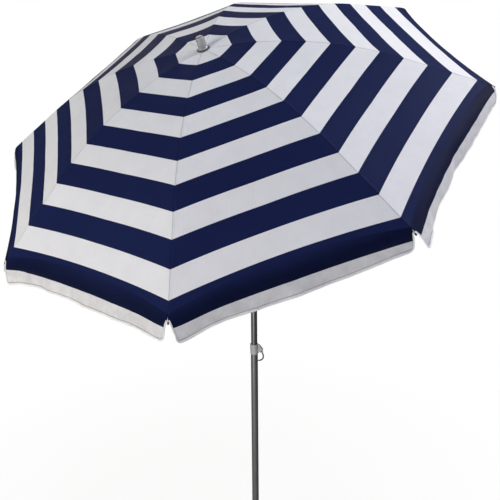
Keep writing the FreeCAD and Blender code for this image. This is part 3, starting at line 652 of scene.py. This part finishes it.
# ------------------------------------------------------------------ canopy halves and their binding tape
cloth_pieces = {}
for i in range(8):
    d = panels[i]
    for lab, cols, rib in (("left", slice(0, NCOL), i), ("right", slice(NCOL - 1, 2 * NCOL - 1), (i + 1) % 8)):
        P, N = d["P"][:, cols], d["N"][:, cols]
        W, K, U, H, V = (d[x][:, cols] for x in "WKUHV")
        if lab == "right":      # run from the rib to the panel's middle, as on the left
            P, N, W, K, U, H, V = (a[:, ::-1] for a in (P, N, W, K, U, H, V))
        R, C = K.shape
        inner = P - N * THICK
        verts = to_row(np.concatenate([P.reshape(-1, 3), inner.reshape(-1, 3)]))
        idx = np.arange(R * C).reshape(R, C)
        low = idx + R * C
        faces, fm = [], []
        flip = lab == "right"

        def quad(a, b, c_, d_, m):
            faces.append((a, b, c_, d_) if not flip else (d_, c_, b, a))
            fm.append(m)

        for r in range(R - 1):
            for c in range(C - 1):
                quad(idx[r, c], idx[r + 1, c], idx[r + 1, c + 1], idx[r, c + 1], 0)
                quad(low[r, c + 1], low[r + 1, c + 1], low[r + 1, c], low[r, c], 1)
        for r in range(R - 1):
            quad(idx[r + 1, 0], idx[r, 0], low[r, 0], low[r + 1, 0], 0)
            quad(idx[r, C - 1], idx[r + 1, C - 1], low[r + 1, C - 1], low[r, C - 1], 0)
        for c in range(C - 1):
            quad(idx[0, c], idx[0, c + 1], low[0, c + 1], low[0, c], 0)
            quad(idx[R - 1, c + 1], idx[R - 1, c], low[R - 1, c], low[R - 1, c + 1], 0)
        both = lambda a: np.concatenate([a.ravel(), a.ravel()])
        lateral = W * (np.maximum(V, 0) + 22.0) * 0.3827
        fell = np.zeros_like(K)
        if lab == "left":
            fell[:FIRST_DROP + 2] = 1.0
        seam = U.copy()
        seam[FIRST_DROP + 3:] = 30.0
        by_notch = U.copy()
        by_notch[:FIRST_DROP + 4] = 40.0
        # the stripes aren't all of one width: how far each edge is printed from its even place, in stripes
        printed = K + np.interp(K, np.arange(13.0), PRINT) * (1.0 - 0.5 * W)
        attrs = {"stripe": both(printed), "seam_mm": both(seam), "hem_mm": both(H), "notch_mm": both(by_notch), "fell": both(fell)}
        uv = np.stack([both(lateral), both(V)], -1) * 0.001
        nr = dir_to_row(N.reshape(-1, 3))
        o = mesh_object("canopy_%d_%s" % (i + 1, lab), verts, faces, [M_CLOTH, M_LINING], fm, attrs, uv, np.concatenate([nr, -nr]))
        set_blend(o, both(fold_weight(W)))
        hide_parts("panel_%d_%s" % (i + 1, lab))
        area = float(np.linalg.norm(np.cross(P[1:, :-1] - P[:-1, :-1], P[:-1, 1:] - P[:-1, :-1]), axis=-1).sum()
                     + np.linalg.norm(np.cross(P[:-1, 1:] - P[1:, 1:], P[1:, :-1] - P[1:, 1:]), axis=-1).sum()) / 2e6

        # binding tape: down the notch's edge, round the corner and along the hem
        pr = [(r, 0) for r in range(FIRST_DROP + 4, R - 1)] + [(R - 1, c) for c in range(C)]
        B = np.array([P[r, c] for r, c in pr])
        BN = np.array([N[r, c] for r, c in pr])
        BW = np.array([W[r, c] for r, c in pr])
        # at the panel's middle it runs straight on into the other half
        on = d["P"][R - 1, NCOL if lab == "left" else NCOL - 2]
        T = unit(np.gradient(np.concatenate([B, on[None]]), axis=0)[:-1])
        D = unit(np.cross(BN, T))
        inward = P[R - 4, C // 2] - P[R - 1, C // 2]
        if (D[-C // 2] * inward).sum() < 0:
            D = -D
        BN2 = unit(np.cross(T, D))
        if (BN2[-3] * BN[-3]).sum() < 0:
            BN2 = -BN2
        # the tape's section, (inwards, outwards) from the cloth's edge, mm
        sec = np.array([(-0.9, -0.3), (-0.75, 0.35), (-0.2, 0.72), (1.0, 0.85), (3.5, 0.80), (5.9, 0.66), (6.3, 0.52), (6.7, 0.66),
                        (7.5, 0.62), (7.9, 0.30), (7.9, 0.02), (7.9, -THICK - 0.02), (7.9, -THICK - 0.30), (7.5, -THICK - 0.62),
                        (6.7, -THICK - 0.66), (6.3, -THICK - 0.52), (5.9, -THICK - 0.66), (3.5, -THICK - 0.80), (1.0, -THICK - 0.85),
                        (-0.2, -THICK - 0.72), (-0.75, -THICK - 0.35)])
        m = len(sec)
        # the tape is drawn in where it follows the notch, and opens to its full width along the hem
        wide = np.array([0.56 + 0.36 * step(U[r, c], 5.0, 26.0) for r, c in pr])
        ring = B[:, None] + D[:, None] * sec[None, :, :1] * wide[:, None, None] + BN2[:, None] * sec[None, :, 1:]
        # one more ring just inside each cut end keeps the end's corner crisp
        crisp = lambda a: np.concatenate([a[:1], a[:1] * 0.97 + a[1:2] * 0.03, a[1:-1], a[-1:] * 0.985 + a[-2:-1] * 0.015, a[-1:]])
        ring, B, BW = crisp(ring), crisp(B), crisp(BW)
        n = len(B)
        tv = to_row(ring.reshape(-1, 3))
        ti = np.arange(n * m).reshape(n, m)
        tf = []
        for a in range(n - 1):
            for b in range(m):
                b2 = (b + 1) % m
                q_ = (ti[a, b], ti[a, b2], ti[a + 1, b2], ti[a + 1, b])
                tf.append(q_)
        tf.append(tuple(ti[0, ::-1]))
        tf.append(tuple(ti[n - 1]))
        along = np.concatenate([[0], np.cumsum(np.linalg.norm(np.diff(B, axis=0), axis=1))])
        tu = np.stack([np.tile(sec[:, 0], n), np.repeat(along, m)], -1) * 0.001
        tape = mesh_object("hem_tape_%d_%s" % (i + 1, lab), tv, tf, [M_TAPE], None, {"across_mm": np.tile(sec[:, 0], n)}, tu)
        me = tape.data
        for p_ in list(me.polygons)[-2:]:      # the cut ends are flat
            p_.use_smooth = False
        ctr = to_row(ring.mean(1))
        f0 = me.polygons[m * (n // 2) + 3]
        out_dir = np.array(f0.center) - ctr[n // 2]
        if np.dot(out_dir, np.array(f0.normal)) < 0:
            me.flip_normals()
        set_blend(tape, np.repeat(fold_weight(BW), m))
        cloth_pieces[(i, lab)] = (o, tape)


# ------------------------------------------------------------------ rib pockets and ties under the cloth
def tube_mesh(name, rings, mats, closed_ends=True, attrs=None):
    """Skin over rings of points, each ring closed."""
    rings = np.asarray(rings)
    n, m = rings.shape[:2]
    idx = np.arange(n * m).reshape(n, m)
    faces = []
    for a in range(n - 1):
        for b in range(m):
            faces.append((idx[a, b], idx[a, (b + 1) % m], idx[a + 1, (b + 1) % m], idx[a + 1, b]))
    if closed_ends:
        faces.append(tuple(idx[0, ::-1]))
        faces.append(tuple(idx[-1]))
    uv = np.zeros((n * m, 2))
    seg = np.linalg.norm(np.diff(rings.mean(1), axis=0), axis=1)
    uv[:, 1] = np.repeat(np.concatenate([[0], np.cumsum(seg)]), m)
    uv[:, 0] = np.tile(np.arange(m) / m * 0.02, n)
    return mesh_object(name, rings.reshape(-1, 3), faces, mats, None, attrs or {"across_mm": np.full(n * m, 30.0)}, uv)


def outward(o):
    """Turns the faces of a closed mesh outwards."""
    import bmesh
    bm = bmesh.new()
    bm.from_mesh(o.data)
    bmesh.ops.recalc_face_normals(bm, faces=bm.faces)
    bm.to_mesh(o.data)
    bm.free()
    o.data.update()
    return o


for i in range(8):
    # pocket: a sewn sleeve that holds the rib's end under the cloth
    rings = []
    for t in np.linspace(0, 1, 9):
        s = 918.0 + 50.0 * t
        grow = 1.0 + 0.10 * math.sin(math.pi * t)
        ring = []
        for a in range(20):
            ang = 2 * math.pi * a / 20
            y, z = 5.4 * math.sin(ang) * grow, 3.3 * math.cos(ang) * grow
            if z > 3.0:
                z = 3.0
            r, zz, f = rib_line(s, z + 0.15)
            ring.append((float(r), y, float(zz)))
        rings.append(ring)
    outer = np.array(rings)
    pocket = tube_mesh("rib_pocket_%d" % (i + 1), to_row(turn_z(outer, AZ[i])), [M_POCKET])
    outward(pocket)
    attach(pocket, "rib_%d_body" % (i + 1))
    # two ties knotted round the rod, their ends sewn to the seam
    for kk, s0 in (("a", 470.0), ("b", 705.0)):
        rings = []
        for t in range(25):
            ang = 2 * math.pi * t / 24 - math.pi / 2
            ring = []
            for a in range(8):
                b_ = 2 * math.pi * a / 8
                rad_ = 2.15 + 0.30 * math.cos(b_) + 0.25
                y = rad_ * math.cos(ang)
                z = rad_ * math.sin(ang) + 0.15 + (0.25 * max(0.0, math.sin(ang)) ** 3)
                r, zz, f = rib_line(s0 + 3.4 * math.sin(b_) + 0.8 * math.sin(ang * 2), z)
                ring.append((float(r), y, float(zz)))
            rings.append(ring)
        tie = tube_mesh("rib_tie_%d%s" % (i + 1, kk), to_row(turn_z(np.array(rings), AZ[i])), [M_POCKET])
        outward(tie)
        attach(tie, "rib_%d_body" % (i + 1))


# ------------------------------------------------------------------ finial: smoky cap on a beaded skirt
def smoky_material():
    t = Tree("cap_plastic_smoky")
    obj = t.obj()
    swirl = t.noise(obj, 46.0, 5.0, 0.6)
    fine = t.noise(obj, 900.0, 2.0)
    colour = t.mix(t.range(swirl, 0.35, 0.65, 0.0, 1.0), (0.40, 0.41, 0.41), (0.55, 0.56, 0.565))
    rub = t.range(t.noise(obj, 210.0, 5.0, 0.7), 0.58, 0.74, 0.0, 0.35)
    colour = t.mix(rub, colour, (0.55, 0.56, 0.57))
    normal = t.bump(swirl, 0.0008, 0.25)
    normal = t.bump(fine, 0.00004, 0.5, normal)
    t.set(Base_Color=colour, Normal=normal, Roughness=t.math("ADD", t.range(fine, 0.3, 0.7, 0.09, 0.16), t.math("MULTIPLY", rub, 0.3)))
    t.bsdf.inputs["Transmission Weight"].default_value = 0.5
    t.bsdf.inputs["IOR"].default_value = 1.49
    t.bsdf.inputs["Coat Weight"].default_value = 0.5
    t.bsdf.inputs["Coat Roughness"].default_value = 0.05
    return t.mat


M_CAP = smoky_material()


def lathe(name, profile, mats, count=96, flute=None):
    """Turns (r, z) points about the canopy's axis; flute(angle, r, z) changes the radius."""
    rings = []
    for r, z in profile:
        ring = []
        for a in range(count):
            ang = 2 * math.pi * a / count
            rr = r if flute is None else flute(ang, r, z)
            ring.append((rr * math.cos(ang), rr * math.sin(ang), z))
        rings.append(ring)
    o = tube_mesh(name, to_row(np.array(rings)), mats)
    return outward(o)


def cap_flute(ang, r, z):
    if 12.5 < z < 48.5 and r > 8:
        return r - 0.9 * (0.5 + 0.5 * math.cos(12 * ang)) ** 2 * min(1.0, (z - 12.5) / 4.0, (48.5 - z) / 4.0)
    return r


cap = lathe("canopy_cap_moulded", [(5.1, 7.95), (16.7, 7.95), (17.25, 8.4), (17.35, 10.3), (16.9, 11.3), (16.2, 12.0), (16.15, 13.6), (16.1, 17.0), (15.95, 22.0),
                                   (15.85, 28.0), (15.7, 34.0), (15.6, 40.0), (15.3, 44.0), (14.8, 46.6), (14.0, 48.6), (12.8, 50.0), (11.0, 50.9), (9.0, 51.4),
                                   (6.8, 51.8), (4.0, 52.1), (1.6, 52.25), (0.2, 52.3), (0.2, 24.35), (3.8, 24.3), (5.06, 22.3)], [M_CAP], 96, cap_flute)
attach(cap, "top_mast")
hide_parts("canopy_cap")


def washer_flute(ang, r, z):
    return r - (1.5 * (0.5 - 0.5 * math.cos(20 * ang)) ** 2 if r > 21.5 else 0.0)


M_WASHER = plastic_material("washer_plastic_dark", (0.060, 0.062, 0.068), (0.085, 0.087, 0.092), 0.30, scuff=0.3, coat=0.2)
washer = lathe("canopy_washer_moulded", [(5.1, 6.2), (12.0, 6.2), (20.0, 6.15), (22.8, 5.55), (23.8, 5.45), (24.2, 5.9), (24.0, 6.6), (22.9, 7.15), (20.0, 7.6),
                                         (12.0, 7.6), (5.1, 7.6)], [M_WASHER], 160, washer_flute)
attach(washer, "top_mast")
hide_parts("canopy_washer")


# ------------------------------------------------------------------ floor, light, camera
def floor():
    low = LO0.z - 0.0006
    rings = [0.0, 0.4, 0.8, 1.2, 1.6, 2.0, 2.4, 2.8, 3.2]
    verts, faces = [(0.0, 0.0, low)], []
    m = 72
    for r in rings[1:]:
        for a in range(m):
            verts.append((r * math.cos(2 * math.pi * a / m), r * math.sin(2 * math.pi * a / m), low))
    for a in range(m):
        faces.append((0, 1 + a, 1 + (a + 1) % m))
    for k in range(len(rings) - 2):
        for a in range(m):
            p, q = 1 + k * m + a, 1 + k * m + (a + 1) % m
            faces.append((p, p + m, q + m, q))
    me = bpy.data.meshes.new("floor")
    me.from_pydata(verts, [], faces)
    o = bpy.data.objects.new("floor", me)
    scene.collection.objects.link(o)
    t = Tree("floor_pale")
    obj = t.obj()
    x, y, z = t.xyz(obj)
    far = t.math("SQRT", t.math("ADD", t.math("MULTIPLY", x, x), t.math("MULTIPLY", y, y)))
    grain = t.noise(obj, 40.0, 4.0)
    t.set(Base_Color=t.mix(grain, (0.90, 0.90, 0.90), (0.93, 0.93, 0.93)), Roughness=0.9)
    t.bsdf.inputs["Specular IOR Level"].default_value = 0.1
    glow = t.new("ShaderNodeEmission")
    glow.inputs["Color"].default_value = (1, 1, 1, 1)
    glow.inputs["Strength"].default_value = 1.0
    m_ = t.new("ShaderNodeMixShader")
    t.t.links.new(t.range(far, 0.5, 2.4, 0.84, 1.0, True), m_.inputs[0])
    t.t.links.new(t.bsdf.outputs[0], m_.inputs[1])
    t.t.links.new(glow.outputs[0], m_.inputs[2])
    t.t.links.new(m_.outputs[0], t.out.inputs[0])
    me.materials.append(t.mat)
    return o


ground = floor()

world = bpy.data.worlds.new("studio")
world.use_nodes = True
wt = world.node_tree
wt.nodes.clear()
w_out = wt.nodes.new("ShaderNodeOutputWorld")
seen = wt.nodes.new("ShaderNodeBackground")
seen.inputs[0].default_value = (1, 1, 1, 1)
seen.inputs[1].default_value = 1.0
lit = wt.nodes.new("ShaderNodeBackground")
coord = wt.nodes.new("ShaderNodeTexCoord")
split = wt.nodes.new("ShaderNodeSeparateXYZ")
wt.links.new(coord.outputs["Generated"], split.inputs[0])
rng = wt.nodes.new("ShaderNodeMapRange")
rng.interpolation_type = "SMOOTHSTEP"
for s_, v_ in zip(("From Min", "From Max", "To Min", "To Max"), (-1.0, 0.6, 0.16, 0.012)):
    rng.inputs[s_].default_value = v_
wt.links.new(split.outputs[0], rng.inputs["Value"])
wt.links.new(rng.outputs["Result"], lit.inputs[1])
lit.inputs[0].default_value = (0.97, 0.98, 1.0, 1)
path = wt.nodes.new("ShaderNodeLightPath")
mixw = wt.nodes.new("ShaderNodeMixShader")
wt.links.new(path.outputs["Is Camera Ray"], mixw.inputs[0])
wt.links.new(lit.outputs[0], mixw.inputs[1])
wt.links.new(seen.outputs[0], mixw.inputs[2])
wt.links.new(mixw.outputs[0], w_out.inputs[0])
scene.world = world


def area(name, at, target, size, power, colour=(1, 1, 1)):
    l = bpy.data.lights.new(name, "AREA")
    l.shape = "DISK"
    l.size = size
    l.energy = power
    l.color = colour
    o = bpy.data.objects.new(name, l)
    o.location = at
    o.rotation_mode = "QUATERNION"
    o.rotation_quaternion = (Vector(target) - Vector(at)).to_track_quat("-Z", "Y")
    scene.collection.objects.link(o)
    return o


AIM = (0, -0.4, 1.6)
lamps = [area("front_left", (-2.0, -5.0, 1.6), AIM, 2.5, 158, (1.0, 0.985, 0.975)),
         area("low", (-0.6, -4.6, 0.5), AIM, 2.0, 34, (1.0, 0.95, 0.75)),
         area("back_right", (3.6, 2.2, 4.6), AIM, 3.0, 300, (1.0, 0.98, 0.94)),
         area("right_blue", (3.6, -2.0, 3.6), AIM, 3.5, 44, (0.60, 0.66, 1.0)),
         area("top", (0, -0.3, 6.0), AIM, 3.5, 34, (0.72, 0.92, 1.0)),
         area("back_left", (-3.6, 2.6, 4.6), AIM, 3.0, 42, (1.0, 0.79, 0.62))]
# how strongly each lamp shows as a highlight
for lamp, shine in zip(lamps, (0.3, 0.2, 0.9, 2.4, 0.1, 0.15)):
    lamp.data.specular_factor = shine
# the mast has a lamp of its own on its left, and stands out of the others' light
mast_lamp = area("mast_left", (0.25, -4.5, 0.25), (0, 0, 0.3), 2.2, 175, (1.0, 0.985, 0.98))
mast_back = area("mast_back", (-1.5, 3.9, 1.3), (0, 0, 0.5), 1.7, 130, (0.97, 0.98, 1.0))
own = bpy.data.collections.new("lit_by_mast_lamp")
others = bpy.data.collections.new("mast_pieces")
for name, o in nodes.items():
    if name.startswith(("lower_mast", "upper_mast", "mast_collar", "collar_hook", "hook_pin")):
        own.objects.link(o)
        others.objects.link(o)
for c_ in others.collection_objects:
    c_.light_linking.link_state = "EXCLUDE"
mast_lamp.light_linking.receiver_collection = own
mast_back.light_linking.receiver_collection = own
for lamp in lamps[:4] + [ground]:
    lamp.light_linking.receiver_collection = others

scene.view_settings.view_transform = "Standard"
scene.view_settings.look = "None"
scene.view_settings.exposure = 0.0
scene.view_settings.gamma = 1.0

cam_data = bpy.data.cameras.new("camera")
cam_data.sensor_width = 36.0
cam_data.lens = 43.549
cam_data.clip_start, cam_data.clip_end = 0.05, 200.0
cam = bpy.data.objects.new("camera", cam_data)
right = Vector((0.89320266, 0.44954972, -0.00969843))
up = Vector((-0.11559105, 0.25040283, 0.96121649))
forward = Vector((-0.43454311, 0.85744007, -0.27562439))
m4 = Matrix.Identity(4)
for r_ in range(3):
    m4[r_][0], m4[r_][1], m4[r_][2] = right[r_], up[r_], -forward[r_]
m4.translation = Vector((1.130294, -2.263540, 1.848411))
cam.matrix_world = m4
scene.collection.objects.link(cam)
scene.camera = cam

bpy.context.view_layer.update()
